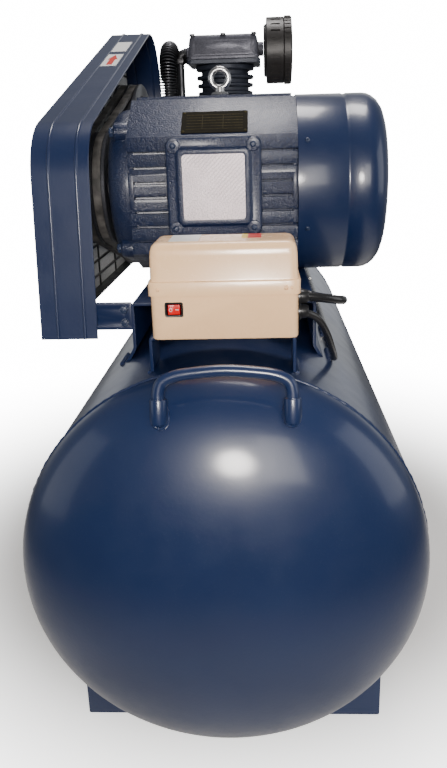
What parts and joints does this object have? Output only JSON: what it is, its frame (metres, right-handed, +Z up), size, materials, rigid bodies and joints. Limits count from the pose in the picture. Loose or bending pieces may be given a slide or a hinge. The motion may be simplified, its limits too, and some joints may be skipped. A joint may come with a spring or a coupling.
{
  "type": "tank air compressor",
  "caption": "Belt-driven piston air compressor on a lying pressure tank, with an electric motor, mesh belt guard, starter box and lifting handles.",
  "frame": {"origin": "on the floor, in the middle of the footprint", "axes": "+Z up; +Y along the tank, from the handle-and-starter end to the valve end; +X towards the motor's fan"},
  "size_m": [0.502, 1.386, 1.011],
  "materials": {
    "navy_paint": "glossy navy powder coat",
    "motor_casting": "navy paint over a sand casting, sparkling",
    "pump_iron": "dark grey-blue paint on cast iron",
    "pump_alloy": "grey painted alloy casting",
    "pulley_iron": "dark painted iron with bright machined rim",
    "beige_plastic": "glossy moulded beige",
    "black_plastic": "matte moulded",
    "red_plastic": "glossy moulded",
    "belt_rubber": "fabric-backed rubber",
    "lead_rubber": "smooth cable sheath",
    "bright_steel": "turned steel",
    "core_steel": "laminated steel",
    "zinc_plate": "bright zinc plate",
    "brass": "machined brass",
    "pipe_finned": "dark painted finned tube",
    "dark_plate": "dark anodised plate"
  },
  "bodies": {
    "machine": {"tank_shell": "navy_paint", "tank_head_front": "navy_paint", "tank_head_rear": "navy_paint", "handle_front": "navy_paint", "handle_rear": "navy_paint", "foot_front": "navy_paint", "foot_rear": "navy_paint", "platform": "navy_paint", "starter_bracket": "navy_paint", "starter_base": "beige_plastic", "starter_cover": "beige_plastic", "contactor": "black_plastic", "overload_relay": "black_plastic", "switch_bezel": "black_plastic", "motor_frame": "motor_casting", "end_shield_drive": "motor_casting", "end_shield_fan": "motor_casting", "stator_core": "core_steel", "fan_cover": "navy_paint", "terminal_box": "motor_casting", "terminal_box_cover": "motor_casting", "nameplate": "dark_plate", "eyebolt": "zinc_plate", "belt_1": "belt_rubber", "belt_2": "belt_rubber", "guard_band": "navy_paint", "guard_grille": "navy_paint", "guard_bracket_front": "navy_paint", "guard_bracket_rear": "navy_paint", "crankcase": "pump_iron", "crankcase_cover": "pump_iron", "cylinder": "pump_iron", "valve_plate": "pump_iron", "cylinder_head": "pump_alloy", "filter_body": "black_plastic", "filter_cover": "black_plastic", "discharge_pipe": "pipe_finned", "check_valve": "brass", "valve_manifold": "brass", "pressure_switch": "black_plastic", "pressure_gauge": "black_plastic", "safety_valve": "brass", "outlet_valve": "brass", "drain_valve": "brass", "motor_lead": "lead_rubber", "switch_lead": "lead_rubber"},
    "crank": {"crankshaft": "bright_steel", "flywheel": "pulley_iron"},
    "rotor": {"rotor_shaft": "bright_steel", "motor_pulley": "pulley_iron", "motor_fan": "black_plastic"},
    "piston_unit": {"piston": "pump_alloy", "con_rod": "bright_steel"},
    "rocker": {"rocker": "red_plastic"},
    "outlet_lever": {"outlet_lever": "red_plastic"},
    "drain_screw": {"drain_screw": "brass"},
    "safety_ring": {"safety_ring": "bright_steel"},
    "switch_knob": {"switch_knob": "red_plastic"},
    "gauge_needle": {"gauge_needle": "black_plastic"}
  },
  "joints": [
    {"name": "flywheel_spin", "type": "hinge", "parent": "machine", "child": "crank", "pos_m": [-0.205, 0.19, 0.7183], "axis": [1, 0, 0], "continuous": true},
    {"name": "motor_spin", "type": "hinge", "parent": "machine", "child": "rotor", "pos_m": [-0.205, -0.16, 0.7183], "axis": [1, 0, 0], "continuous": true},
    {"name": "piston_stroke", "type": "slide", "parent": "machine", "child": "piston_unit", "axis": [0, 0, 1], "range_m": [-0.06, 0]},
    {"name": "rocker_tilt", "type": "hinge", "parent": "machine", "child": "rocker", "pos_m": [-0.048, -0.562, 0.6085], "axis": [0, 0, -1], "range_deg": [0, 14]},
    {"name": "outlet_lever_turn", "type": "hinge", "parent": "machine", "child": "outlet_lever", "pos_m": [0.001, 0.5433, 0.596], "axis": [0, 0, 1], "range_deg": [0, 90]},
    {"name": "drain_screw_turn", "type": "hinge", "parent": "machine", "child": "drain_screw", "pos_m": [-0.012, 0, 0.019], "axis": [1, 0, 0], "range_deg": [0, 360]},
    {"name": "safety_ring_pull", "type": "slide", "parent": "machine", "child": "safety_ring", "axis": [-1, 0, 0], "range_m": [0, 0.004], "stiffness_N_per_m": 1500},
    {"name": "switch_knob_pull", "type": "slide", "parent": "machine", "child": "switch_knob", "axis": [0, 0, 1], "range_m": [0, 0.006]},
    {"name": "gauge_needle_turn", "type": "hinge", "parent": "machine", "child": "gauge_needle", "pos_m": [0.056, 0.487, 0.6], "axis": [-1, 0, 0], "range_deg": [0, 270]}
  ],
  "couplings": [
    {"joint": "motor_spin", "follows": "flywheel_spin", "ratio": 2.1043}
  ]
}
